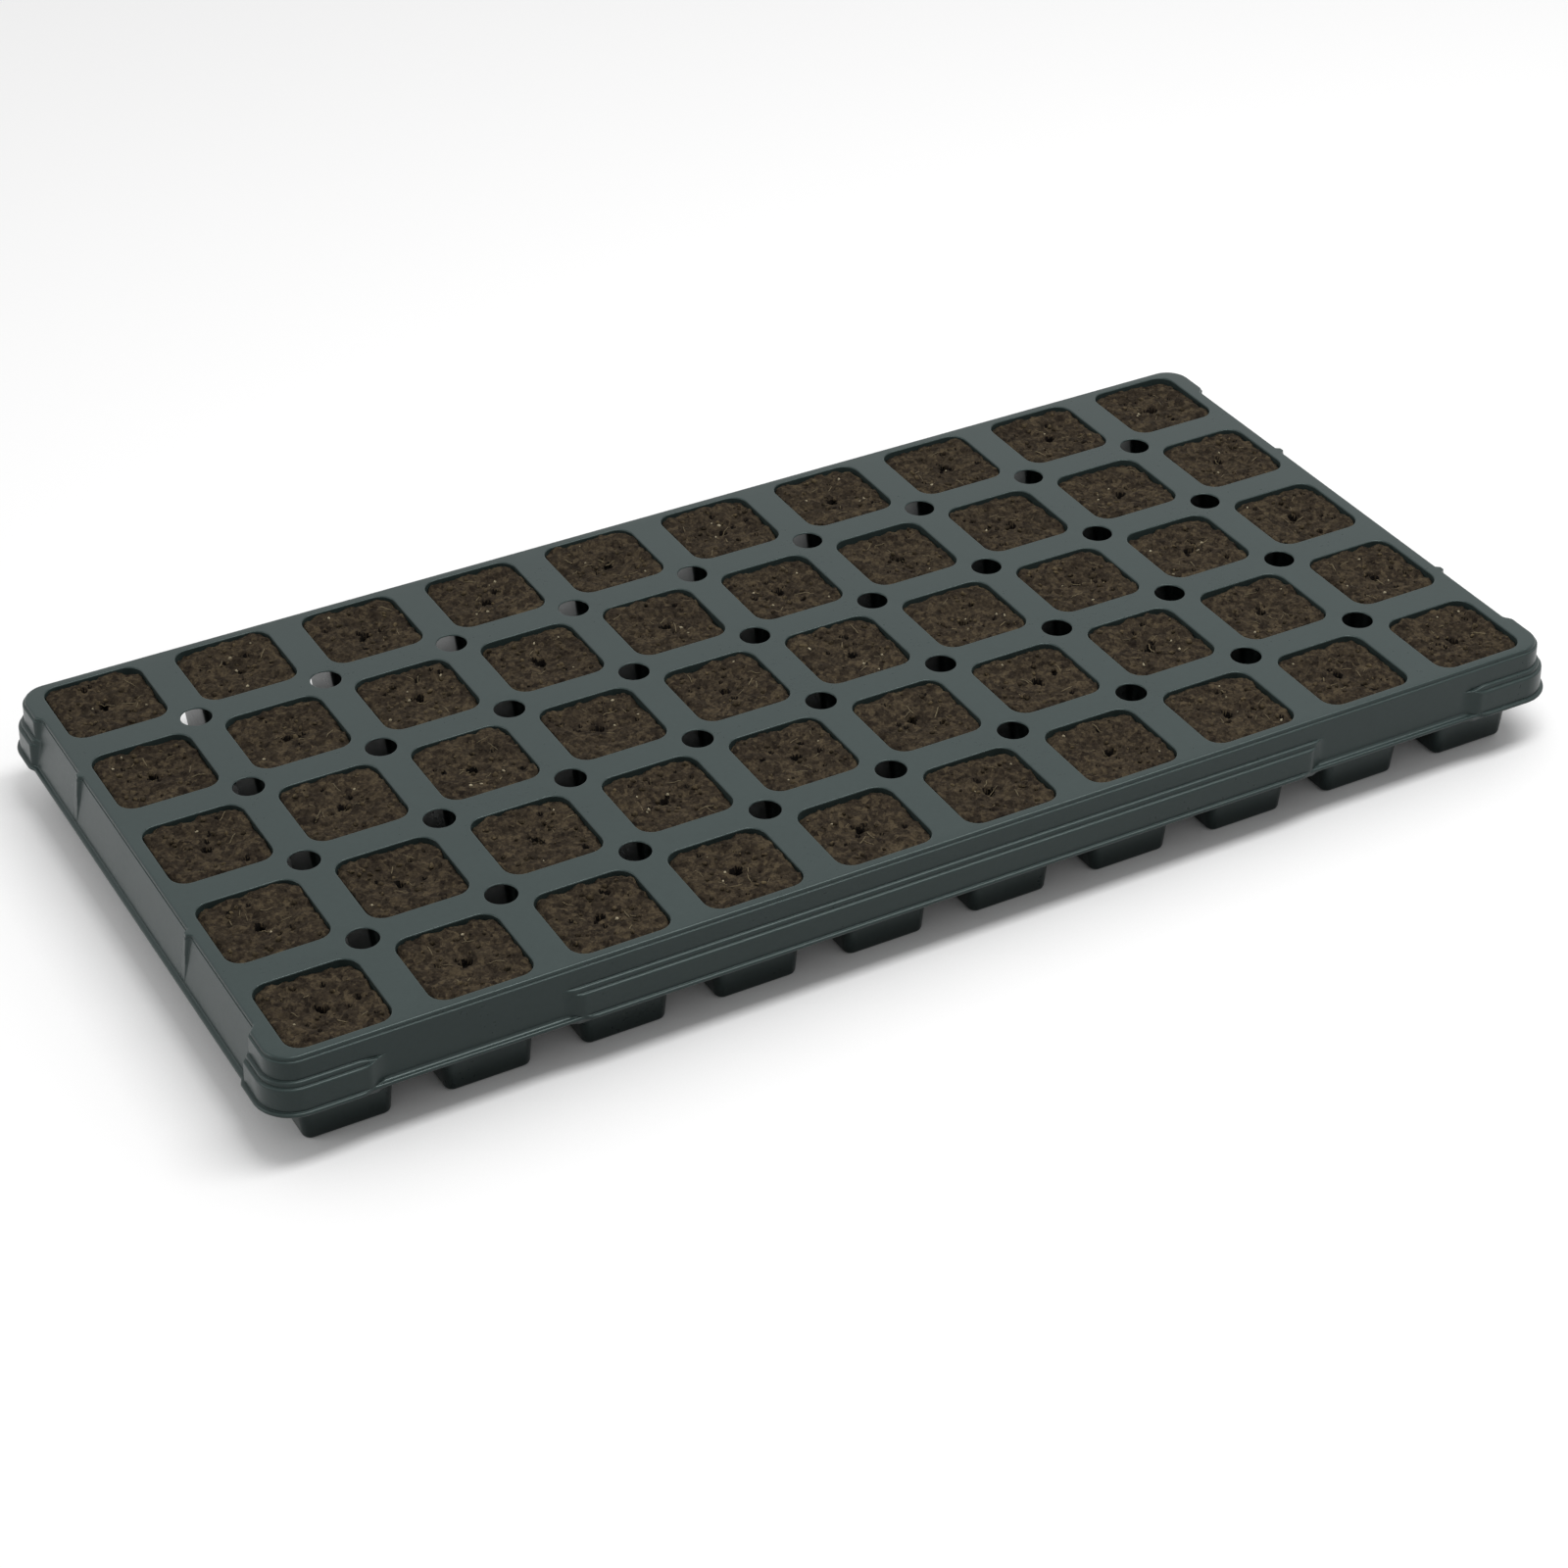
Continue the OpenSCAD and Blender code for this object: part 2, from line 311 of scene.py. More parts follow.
def long_side_rows(x):
    """Rim profile at x along a long side: plain, stepped, or the ramp between them."""
    into_corner = abs(x) - BLOCK_END
    into_block = max(into_corner, MIDDLE_END - abs(x))
    ramp = smooth(into_block / RAMP_RUN)
    wall = np.minimum(PLAIN[:, 0], PLAIN_OUT)
    reach = wall + (BEAD_EDGE - wall) * ramp
    out = np.maximum(PLAIN[:, 0], np.minimum(STEPPED[:, 0], reach))
    gap = STEPPED[:, 0] - PLAIN[:, 0]
    share = np.where(gap > TINY, (out - PLAIN[:, 0]) / np.maximum(gap, TINY), ramp)
    down = PLAIN[:, 1] + share * (STEPPED[:, 1] - PLAIN[:, 1])
    if into_corner >= 0:
        # The double step of a corner block runs out in one tip
        height = TIP_HEIGHT + (1 - TIP_HEIGHT) * smooth((into_corner / RAMP_RUN - TIP_END) / TIP_RUN)
        down = np.where(STEP_ROWS, STEP_MIDDLE + (down - STEP_MIDDLE) * height, down)
    return np.c_[out, down]


def short_side_rows(y):
    """Rim profile at y along a short side: leaning panel, gusset or corner block."""
    rows = PANEL + smooth((abs(y) - PANEL_END) / PANEL_RAMP) * (STEPPED - PANEL)
    gap = np.maximum(GUSSET[:, 0] - PANEL[:, 0], TINY)
    for middle in GUSSETS:
        flank = GUSSET_OUT * (GUSSET_W / 2 - abs(y - middle)) / GUSSET_RAMP
        share = np.clip(flank / gap, 0, 1)
        rows = rows + share[:, None] * (GUSSET - PANEL)
    return rows


def both_ways(marks):
    """Marks on one half of a side, and their mirror images on the other half."""
    return marks + [(-high, -low, step) for low, high, step in marks]


def stations(half, marks, stride):
    """Places along a side from -half to half, close together inside each (low, high, step) of marks."""
    places = set(np.round(np.linspace(-half, half, int(2 * half / stride) + 1), 3))
    for low, high, step in marks:
        places = {p for p in places if not low - step < p < high + step}
        count = int(math.ceil((high - low) / step)) + 1
        places |= set(np.round(np.linspace(low, high, count), 3))
    return sorted(places)


def corner(centre, start):
    """Stations round a corner of the deck, a quarter turn from start degrees on."""
    found = []
    for i in range(CORNER_STEPS):
        a = math.radians(start + 90 * i / CORNER_STEPS)
        n = (math.cos(a), math.sin(a))
        found.append(((centre[0] + DECK_R * n[0], centre[1] + DECK_R * n[1]), n, STEPPED))
    return found


def rim_path():
    """(point on the edge of the deck, outward direction, profile) round the tray, anticlockwise."""
    long_half, short_half = DECK_X - DECK_R, DECK_Y - DECK_R
    block_ramps = [
        (BLOCK_END - BLOCK_STRIDE, BLOCK_END + RAMP_RUN, BLOCK_STRIDE),
        (MIDDLE_END - RAMP_RUN, MIDDLE_END + BLOCK_STRIDE, BLOCK_STRIDE),
    ]
    along = stations(long_half, both_ways(block_ramps), LONG_STRIDE)
    flanks = both_ways([(PANEL_END, PANEL_END + PANEL_RAMP, PANEL_STRIDE)])
    for middle in GUSSETS:
        low, high = middle - GUSSET_W / 2, middle + GUSSET_W / 2
        flanks.append((high - GUSSET_RAMP, high, GUSSET_STRIDE))
        flanks.append((low, low + GUSSET_RAMP, GUSSET_STRIDE))
    across = stations(short_half, flanks, SHORT_STRIDE)
    half = [((x, -DECK_Y), (0, -1), long_side_rows(x)) for x in along[:-1]]
    half += corner((long_half, -short_half), -90)
    half += [((DECK_X, y), (1, 0), short_side_rows(y)) for y in across[:-1]]
    half += corner((long_half, short_half), 0)
    path = []
    for turn in (0, 180):
        spin = np.array(Matrix.Rotation(math.radians(turn), 2))
        path += [(spin @ np.array(p), spin @ np.array(n), rows) for p, n, rows in half]
    return path


def add_rim(skin):
    """The rim all round. Returns its loop on the deck."""
    path = rim_path()
    first = previous = None
    for k in range(len(STEPPED)):
        ring = []
        for p, n, rows in path:
            out, down = rows[k]
            ring.append((p[0] + n[0] * out, p[1] + n[1] * out, TRAY_H - down))
        loop = skin.loop(ring)
        if previous:
            skin.band(loop, previous)
        first, previous = first or loop, loop
    return first


def nearest(places, value):
    return min(places, key=lambda place: abs(place - value))


def in_opening(x, y):
    """True inside a cell's mouth or an air hole, where there is no deck."""
    dx = max(abs(x - nearest(CELL_X, x)) - CELL_CORNER, 0)
    dy = max(abs(y - nearest(CELL_Y, y)) - CELL_CORNER, 0)
    if math.hypot(dx, dy) < MOUTH_EDGE_R:
        return True
    from_vent = math.hypot(x - nearest(VENT_X, x), y - nearest(VENT_Y, y))
    return from_vent < VENT_R + VENT_ROUND


# The kind of result that fills the outlines with triangles
FILL_OUTLINES = 1


def add_deck(skin, rim, openings):
    """The flat deck between the rim and the openings."""
    ids, edges = [], []
    for loop in [rim, *openings]:
        start = len(ids)
        ids += loop
        edges += [(start + i, start + (i + 1) % len(loop)) for i in range(len(loop))]
    flat = [Vector(skin.points[i][:2]) for i in ids]
    places, _, faces, came_from, _, _ = delaunay_2d_cdt(flat, edges, [], FILL_OUTLINES, TINY)
    for face in faces:
        middle = sum((places[i] for i in face), Vector((0, 0))) / len(face)
        if not in_opening(*middle):
            a, b, c = (places[i] for i in face)
            order = face if (b - a).cross(c - a) > 0 else face[::-1]
            skin.faces.append(tuple(ids[came_from[i][0]] for i in order))


def new_piece(name, points, faces, materials, face_materials=None):
    """An object from points in millimetres."""
    mesh = bpy.data.meshes.new(name)
    mesh.from_pydata([(x * MM, y * MM, z * MM) for x, y, z in points], [], faces)
    for material in materials:
        mesh.materials.append(material)
    if face_materials is not None:
        mesh.polygons.foreach_set("material_index", face_materials)
    mesh.shade_smooth()
    mesh.update()
    piece = bpy.data.objects.new(name, mesh)
    bpy.context.scene.collection.objects.link(piece)
    return piece


# Edges sharper than this stay sharp, in degrees, and how much large faces lead the shading
SHARP_EDGE, LARGE_FACES = 52, 60


def moulded_tray(plastic):
    """The tray: one skin of deck, cells, vents and rim, thickened inwards to a sheet."""
    skin = Skin()
    openings = [add_cell(skin, x, y) for x in CELL_X for y in CELL_Y]
    openings += [add_vent(skin, x, y) for x in VENT_X for y in VENT_Y]
    add_deck(skin, add_rim(skin), openings)
    piece = new_piece("moulded_tray", skin.points, skin.faces, [plastic])
    sheet = piece.modifiers.new("sheet", "SOLIDIFY")
    sheet.thickness, sheet.offset = WALL * MM, -1
    evaluated = piece.evaluated_get(bpy.context.evaluated_depsgraph_get())
    solid = bpy.data.meshes.new_from_object(evaluated)
    piece.modifiers.clear()
    piece.data = solid
    solid.shade_smooth()
    solid.set_sharp_from_angle(angle=math.radians(SHARP_EDGE))
    even = piece.modifiers.new("even_shading", "WEIGHTED_NORMAL")
    even.keep_sharp = True
    even.weight = LARGE_FACES
    return piece


# The plugs of peat, in millimetres

# Relief of the top
LUMP_H, LUMP_SIZE, LUMP_FADE, LUMP_OCTAVES = 1.0, 6.0, 0.9, 4
OCTAVE_STEP = 2.0
CRUMB_H, CRUMB_SIZE, CRUMB_LEVEL = 0.5, 2.4, 0.25
CHIP_DEPTH, CHIP_W, CHIP_LEVEL = 1.0, 2.2, 0.55
CHIPS = ((1.3, 4.5), (0.5, 1.7))
CORNER_SINK, CORNER_START, CORNER_RUN = 0.7, 1.55, 0.35
BELOW_DECK, LITTER_BELOW_DECK = 0.3, 0.05
# Pits: share of the radius that is their floor, then that of their wall, and their uneven outline
PIT_FLOOR, PIT_SIDE, PIT_UNEVEN, PIT_UNEVEN_SIZE = 0.6, 0.5, 0.35, 1.3
# Pits deeper than this get a near-black finish: painted shade in them
PIT_SHADE_DEPTH = 0.7
# Relief of the sides, and how the foot is drawn in from a height down
SIDE_ROUGH, SIDE_LUMP, SIDE_FADE, SIDE_OCTAVES = 0.3, 3.5, 1.0, 2
FOOT_GAP, FOOT_PULL, FOOT_PULL_FROM, FOOT_PULL_RUN = 0.05, 0.9, 2.2, 1.2
# Ranges of what differs from plug to plug
PATTERN_SHIFT, FILL_LEVEL, TILT = (0, 900), (-0.35, 0.2), (-0.025, 0.025)
PIT_COUNT, PIT_PLACE, PIT_R, PIT_DEPTH = (4, 8), (-15, 15), (0.55, 1.2), (1.0, 2.4)
SEED_PLACE = (-1.5, 1.5)
SIDE_PIT_COUNT, SIDE_PIT_PLACE, SIDE_PIT_R, SIDE_PIT_DEPTH = (1, 2), (-3, 3), (0.6, 1.1), 2.5
STRAND_COUNT, STRAND_PLACE, STRAND_LENGTH = (3, 7), (-13, 13), (2.5, 7.5)
STRAND_R, STRAND_BEND, STRAND_WAVER = (0.14, 0.28), (-0.05, 0.05), (-0.12, 0.12)
GRAIN_PLACE, GRAIN_STRETCH, GRAIN_UNEVEN, GRAIN_SPIN = (-16, 16), (0.6, 1.3), (0.8, 1.2), (0, 6.28)
GRIT_COUNT, GRIT_R = (1, 4), (0.4, 0.75)
BARK_COUNT, BARK_R = (16, 26), (0.5, 1.3)
# Strands: how far they sag between their ends, lie above the peat and thin out
STRAND_STEPS, STRAND_SIDES = 7, 5
STRAND_SAG, STRAND_RISE, STRAND_TIP = 1.2, 0.4, 0.55
# Grains: how far their middle lies above the peat, as a share of their radius
GRAIN_RISE = 0.1

# Places of a plug's finishes in its list of materials
PEAT, STRAW, GRIT, BARK, PIT_SHADE = range(5)

LAST = GRID - 1


def in_outline(u, v, radius):
    """Point of a rounded square for u and v from -1 to 1."""
    x, y = u * (CELL_CORNER + radius), v * (CELL_CORNER + radius)
    dx, dy = abs(x) - CELL_CORNER, abs(y) - CELL_CORNER
    if dx > 0 and dy > 0:
        pull = max(dx, dy) / math.hypot(dx, dy)
        x = math.copysign(CELL_CORNER + dx * pull, x)
        y = math.copysign(CELL_CORNER + dy * pull, y)
    return x, y


class Peat:
    """Height of the crumbly top of one plug, in a frame centred on its cell."""

    def __init__(self, x, y, draw):
        self.shift = Vector((x, y, draw.uniform(*PATTERN_SHIFT)))
        self.top = TRAY_H - PLUG_RECESS + draw.uniform(*FILL_LEVEL)
        self.radius = cell_r(self.top) - PLUG_GAP
        self.dish_r = CELL_CORNER + self.radius - DISH_MARGIN
        self.pits = []
        for _ in range(draw.randint(*PIT_COUNT)):
            px, py = draw.uniform(*PIT_PLACE), draw.uniform(*PIT_PLACE)
            self.pits.append((px, py, draw.uniform(*PIT_R), draw.uniform(*PIT_DEPTH)))
        seed_x, seed_y = draw.uniform(*SEED_PLACE), draw.uniform(*SEED_PLACE)
        self.pits.append((seed_x, seed_y, SEED_HOLE_R, SEED_HOLE_DEPTH))
        for _ in range(draw.randint(*SIDE_PIT_COUNT)):
            px = seed_x + draw.uniform(*SIDE_PIT_PLACE)
            py = seed_y + draw.uniform(*SIDE_PIT_PLACE)
            self.pits.append((px, py, draw.uniform(*SIDE_PIT_R), SIDE_PIT_DEPTH))
        self.tilt = (draw.uniform(*TILT), draw.uniform(*TILT))

    def height(self, x, y):
        """Height of the top: a dish with lumps, crumbs, chipped edges, sunk corners and pits."""
        at = Vector((x, y, 0)) + self.shift
        distance = math.hypot(x, y)
        dish = min(max((distance - SEED_HOLE_R) / (self.dish_r - SEED_HOLE_R), 0), 1)
        z = self.top - DISH_DEPTH * (1 - dish) + self.tilt[0] * x + self.tilt[1] * y
        z += LUMP_H * noise.fractal(at / LUMP_SIZE, LUMP_FADE, OCTAVE_STEP, LUMP_OCTAVES)
        near = noise.voronoi(at / CRUMB_SIZE)[0]
        z += CRUMB_H * (near[1] - near[0] - CRUMB_LEVEL)
        half = CELL_CORNER + self.radius
        edge = half - max(abs(x), abs(y))
        chipped = CHIP_LEVEL
        for amount, size in CHIPS:
            chipped += amount * noise.noise(at / size)
        z -= CHIP_DEPTH * (1 - smooth(edge / CHIP_W)) * max(chipped, 0)
        z -= CORNER_SINK * smooth((abs(x) + abs(y) - CORNER_START * half) / (CORNER_RUN * half))
        return min(z, TRAY_H - BELOW_DECK) - self.pit(x, y)

    def pit(self, x, y):
        """Depth of the seed hole and of the small gaps between crumbs."""
        uneven = noise.noise((Vector((x, y, 0)) + self.shift) / PIT_UNEVEN_SIZE)
        wobble = 1 + PIT_UNEVEN * uneven
        deepest = 0.0
        for px, py, r, depth in self.pits:
            away = math.hypot(x - px, y - py) / (r * wobble)
            deepest = max(deepest, depth * (1 - smooth((away - PIT_FLOOR) / PIT_SIDE)))
        return deepest


def add_strand(points, faces, peat, draw):
    """A thin root or straw fibre lying on the peat."""
    length, radius = draw.uniform(*STRAND_LENGTH), draw.uniform(*STRAND_R)
    turn, bend = draw.uniform(0, 2 * math.pi), draw.uniform(*STRAND_BEND)
    x, y = draw.uniform(*STRAND_PLACE), draw.uniform(*STRAND_PLACE)
    line = []
    for _ in range(STRAND_STEPS):
        line.append((x, y))
        x += math.cos(turn) * length / STRAND_STEPS
        y += math.sin(turn) * length / STRAND_STEPS
        turn += bend * length / STRAND_STEPS + draw.uniform(*STRAND_WAVER)
    heights = [peat.height(px, py) for px, py in line]
    lift = max(heights[0], heights[-1])
    start = len(points)
    ends = (0, STRAND_STEPS - 1)
    for i, (px, py) in enumerate(line):
        qx, qy = line[min(i + 1, STRAND_STEPS - 1)]
        ox, oy = line[max(i - 1, 0)]
        a = math.atan2(qy - oy, qx - ox)
        z = max(heights[i], lift - STRAND_SAG) + radius * STRAND_RISE
        thin = radius * (STRAND_TIP if i in ends else 1.0)
        for s in range(STRAND_SIDES):
            t = 2 * math.pi * s / STRAND_SIDES
            side, up = math.cos(t) * thin, math.sin(t) * thin
            top = min(z + up, TRAY_H - LITTER_BELOW_DECK)
            points.append((px - math.sin(a) * side, py + math.cos(a) * side, top))
    for i in range(STRAND_STEPS - 1):
        ring = start + i * STRAND_SIDES
        for s in range(STRAND_SIDES):
            n = (s + 1) % STRAND_SIDES
            faces.append((ring + s, ring + n, ring + STRAND_SIDES + n, ring + STRAND_SIDES + s))
    faces.append(tuple(start + s for s in reversed(range(STRAND_SIDES))))
    faces.append(tuple(start + ends[1] * STRAND_SIDES + s for s in range(STRAND_SIDES)))


# A grain is a twenty-sided stone: its points, their distance from its middle, and its faces
GOLDEN = (1 + 5**0.5) / 2
GRAIN_POINTS = [
    (-1, GOLDEN, 0), (1, GOLDEN, 0), (-1, -GOLDEN, 0), (1, -GOLDEN, 0),
    (0, -1, GOLDEN), (0, 1, GOLDEN), (0, -1, -GOLDEN), (0, 1, -GOLDEN),
    (GOLDEN, 0, -1), (GOLDEN, 0, 1), (-GOLDEN, 0, -1), (-GOLDEN, 0, 1),
]
GRAIN_POINT_R = 1.9
GRAIN_FACES = [
    (0, 11, 5), (0, 5, 1), (0, 1, 7), (0, 7, 10), (0, 10, 11), (1, 5, 9), (5, 11, 4),
    (11, 10, 2), (10, 7, 6), (7, 1, 8), (3, 9, 4), (3, 4, 2), (3, 2, 6), (3, 6, 8),
    (3, 8, 9), (4, 9, 5), (2, 4, 11), (6, 2, 10), (8, 6, 7), (9, 8, 1),
]


def add_grain(points, faces, peat, draw, radius):
    """A pale grain or bark crumb half sunk in the peat."""
    x, y = draw.uniform(*GRAIN_PLACE), draw.uniform(*GRAIN_PLACE)
    z = peat.height(x, y) + radius * GRAIN_RISE
    stretch = [draw.uniform(*GRAIN_STRETCH) for _ in range(3)]
    spin = Matrix.Rotation(draw.uniform(*GRAIN_SPIN), 3, "Z")
    spin = spin @ Matrix.Rotation(draw.uniform(*GRAIN_SPIN), 3, "X")
    start = len(points)
    for p in GRAIN_POINTS:
        size = radius / GRAIN_POINT_R * draw.uniform(*GRAIN_UNEVEN)
        q = spin @ Vector([c * s * size for c, s in zip(p, stretch)])
        points.append((x + q.x, y + q.y, min(z + q.z, TRAY_H - LITTER_BELOW_DECK)))
    faces.extend(tuple(start + i for i in face) for face in GRAIN_FACES)


def add_peat_top(points, faces, peat):
    """The crumbly top of a plug, as a grid of GRID by GRID points."""
    for j in range(GRID):
        for i in range(GRID):
            px, py = in_outline(2 * i / LAST - 1, 2 * j / LAST - 1, peat.radius)
            points.append((px, py, peat.height(px, py)))
    for j in range(LAST):
        for i in range(LAST):
            a = j * GRID + i
            faces.append((a, a + 1, a + GRID + 1, a + GRID))


def add_peat_sides(points, faces, peat):
    """The rough sides of a plug, from the edge of its top down to its flat foot."""
    edge = [(i, 0) for i in range(LAST)] + [(LAST, j) for j in range(LAST)]
    edge += [(i, LAST) for i in range(LAST, 0, -1)] + [(0, j) for j in range(LAST, 0, -1)]
    previous = [j * GRID + i for i, j in edge]
    foot = WALL + FOOT_GAP
    for row in range(1, SIDE_ROWS + 1):
        share = row / SIDE_ROWS
        ring = []
        for i, j in edge:
            z = points[j * GRID + i][2]
            z += (foot - z) * share
            px, py = in_outline(2 * i / LAST - 1, 2 * j / LAST - 1, cell_r(z) - PLUG_GAP)
            at = Vector((px, py, z)) + peat.shift
            lumps = noise.fractal(at / SIDE_LUMP, SIDE_FADE, OCTAVE_STEP, SIDE_OCTAVES)
            rough = SIDE_ROUGH + SIDE_ROUGH * lumps
            rough += FOOT_PULL * smooth((FOOT_PULL_FROM - z) / FOOT_PULL_RUN)
            pull = 1 - max(rough, 0) / math.hypot(px, py)
            ring.append(len(points))
            points.append((px * pull, py * pull, z))
        for i in range(len(ring)):
            n = (i + 1) % len(ring)
            faces.append((ring[i], ring[n], previous[n], previous[i]))
        previous = ring
    faces.append(tuple(reversed(previous)))


def peat_plug(name, x, y, seed, finishes):
    """One plug: peat with near-black painted shade in its pits, and strands, pale grains and bark on it.
    """
    draw = random.Random(seed)
    peat = Peat(x, y, draw)
    points, faces = [], []
    add_peat_top(points, faces, peat)
    # Faces deep in the pits take the near-black finish, which paints their shade
    pit_shaded = [peat.pit(px, py) > PIT_SHADE_DEPTH for px, py, _ in points]
    kinds = [PIT_SHADE if sum(pit_shaded[k] for k in face) > 1 else PEAT for face in faces]
    add_peat_sides(points, faces, peat)
    kinds += [PEAT] * (len(faces) - len(kinds))
    for _ in range(draw.randint(*STRAND_COUNT)):
        add_strand(points, faces, peat, draw)
    kinds += [STRAW] * (len(faces) - len(kinds))
    for kind, count, radius in ((GRIT, GRIT_COUNT, GRIT_R), (BARK, BARK_COUNT, BARK_R)):
        for _ in range(draw.randint(*count)):
            add_grain(points, faces, peat, draw, draw.uniform(*radius))
        kinds += [kind] * (len(faces) - len(kinds))
    placed = [(px + x, py + y, pz) for px, py, pz in points]
    return new_piece(name, placed, faces, finishes, kinds)


# Finishes

# Colour sockets of a Mix node
MIX_A, MIX_B, MIX_RESULT = 6, 7, 2


def node_at(tree, kind, **values):
    """A new node with some of its properties set."""
    made = tree.nodes.new(kind)
    for name, value in values.items():
        setattr(made, name, value)
    return made


def set_inputs(node, values):
    """Sets sockets of a node, by name or by number."""
    for socket, value in values.items():
        node.inputs[socket].default_value = value


def link(tree, source, target):
    tree.links.new(source, target)


def new_group(name, inputs, outputs):
    """A node group with its sockets, and its input and output nodes."""
    group = bpy.data.node_groups.new(name, "ShaderNodeTree")
    for label, kind, value in inputs:
        socket = group.interface.new_socket(label, in_out="INPUT", socket_type=kind)
        socket.default_value = value
    for label, kind in outputs:
        group.interface.new_socket(label, in_out="OUTPUT", socket_type=kind)
    return group, group.nodes.new("NodeGroupInput"), group.nodes.new("NodeGroupOutput")


def mottle_group():
    """Two colours mixed in soft patches, with finer flecks on top."""
    group, into, out = new_group(
        "mottle",
        [
            ("Patch Size", "NodeSocketFloat", 40.0),
            ("Fleck Size", "NodeSocketFloat", 400.0),
            ("Dark", "NodeSocketColor", (0, 0, 0, 1)),
            ("Light", "NodeSocketColor", (1, 1, 1, 1)),
        ],
        [("Color", "NodeSocketColor"), ("Mask", "NodeSocketFloat")],
    )
    place = node_at(group, "ShaderNodeTexCoord")
    patches = node_at(group, "ShaderNodeTexNoise")
    set_inputs(patches, {"Detail": 4})
    flecks = node_at(group, "ShaderNodeTexNoise")
    set_inputs(flecks, {"Detail": 3})
    blend = node_at(group, "ShaderNodeMath", operation="MULTIPLY_ADD")
    set_inputs(blend, {1: 0.5})
    half = node_at(group, "ShaderNodeMath", operation="MULTIPLY")
    set_inputs(half, {1: 0.5})
    spread = node_at(group, "ShaderNodeMapRange")
    set_inputs(spread, {"From Min": 0.34, "From Max": 0.66})
    mix = node_at(group, "ShaderNodeMix", data_type="RGBA")
    link(group, place.outputs["Object"], patches.inputs["Vector"])
    link(group, place.outputs["Object"], flecks.inputs["Vector"])
    link(group, into.outputs["Patch Size"], patches.inputs["Scale"])
    link(group, into.outputs["Fleck Size"], flecks.inputs["Scale"])
    link(group, flecks.outputs["Fac"], half.inputs[0])
    link(group, patches.outputs["Fac"], blend.inputs[0])
    link(group, half.outputs[0], blend.inputs[2])
    link(group, blend.outputs[0], spread.inputs["Value"])
    link(group, spread.outputs["Result"], mix.inputs["Factor"])
    link(group, into.outputs["Dark"], mix.inputs[MIX_A])
    link(group, into.outputs["Light"], mix.inputs[MIX_B])
    link(group, mix.outputs[MIX_RESULT], out.inputs["Color"])
    link(group, spread.outputs["Result"], out.inputs["Mask"])
    return group


def grain_group():
    """Height of a fine surface grain."""
    group, into, out = new_group(
        "surface_grain",
        [("Coarse", "NodeSocketFloat", 900.0), ("Fine", "NodeSocketFloat", 3000.0)],
        [("Height", "NodeSocketFloat")],
    )
    place = node_at(group, "ShaderNodeTexCoord")
    coarse = node_at(group, "ShaderNodeTexNoise")
    set_inputs(coarse, {"Detail": 3})
    fine = node_at(group, "ShaderNodeTexNoise")
    set_inputs(fine, {"Detail": 2})
    add = node_at(group, "ShaderNodeMath", operation="MULTIPLY_ADD")
    set_inputs(add, {1: 0.5})
    link(group, place.outputs["Object"], coarse.inputs["Vector"])
    link(group, place.outputs["Object"], fine.inputs["Vector"])
    link(group, into.outputs["Coarse"], coarse.inputs["Scale"])
    link(group, into.outputs["Fine"], fine.inputs["Scale"])
    link(group, fine.outputs["Fac"], add.inputs[0])
    link(group, coarse.outputs["Fac"], add.inputs[2])
    link(group, add.outputs[0], out.inputs["Height"])
    return group


# Layers of the crumbs as (texture, scale, share of the pattern); the fine ones give the height
FINE_CRUMBS = ("Voronoi", 2.3, 0.25)
CRUMB_LAYERS = (("Voronoi", 1.0, 0.3), FINE_CRUMBS, ("Noise", 0.45, 0.45))
# Where in the pattern the second and the third colour come in
CRUMB_COLOURS = ((0.3, 0.5, "Middle"), (0.5, 0.72, "Light"))


def crumb_group():
    """Three colours in crumbs of several sizes, and the height of the crumbs."""
    group, into, out = new_group(
        "crumbs",
        [
            ("Crumb Size", "NodeSocketFloat", 600.0),
            ("Dark", "NodeSocketColor", (0, 0, 0, 1)),
            ("Middle", "NodeSocketColor", (0.5, 0.5, 0.5, 1)),
            ("Light", "NodeSocketColor", (1, 1, 1, 1)),
        ],
        [("Color", "NodeSocketColor"), ("Height", "NodeSocketFloat")],
    )
    place = node_at(group, "ShaderNodeTexCoord")
    total = None
    for layer in CRUMB_LAYERS:
        kind, size, share = layer
        scale = node_at(group, "ShaderNodeMath", operation="MULTIPLY")
        set_inputs(scale, {1: size})
        spots = node_at(group, "ShaderNodeTex" + kind)
        add = node_at(group, "ShaderNodeMath", operation="MULTIPLY_ADD")
        set_inputs(add, {1: share, 2: 0})
        link(group, into.outputs["Crumb Size"], scale.inputs[0])
        link(group, scale.outputs[0], spots.inputs["Scale"])
        link(group, place.outputs["Object"], spots.inputs["Vector"])
        link(group, spots.outputs["Color"], add.inputs[0])
        if total:
            link(group, total, add.inputs[2])
        total = add.outputs[0]
        if layer == FINE_CRUMBS:
            link(group, spots.outputs["Distance"], out.inputs["Height"])
    mixed = into.outputs["Dark"]
    for low, high, colour in CRUMB_COLOURS:
        spread = node_at(group, "ShaderNodeMapRange")
        set_inputs(spread, {"From Min": low, "From Max": high})
        mix = node_at(group, "ShaderNodeMix", data_type="RGBA")
        link(group, total, spread.inputs["Value"])
        link(group, spread.outputs["Result"], mix.inputs["Factor"])
        link(group, mixed, mix.inputs[MIX_A])
        link(group, into.outputs[colour], mix.inputs[MIX_B])
        mixed = mix.outputs[MIX_RESULT]
    link(group, mixed, out.inputs["Color"])
    return group


MOTTLE, GRAIN, CRUMBS = mottle_group(), grain_group(), crumb_group()


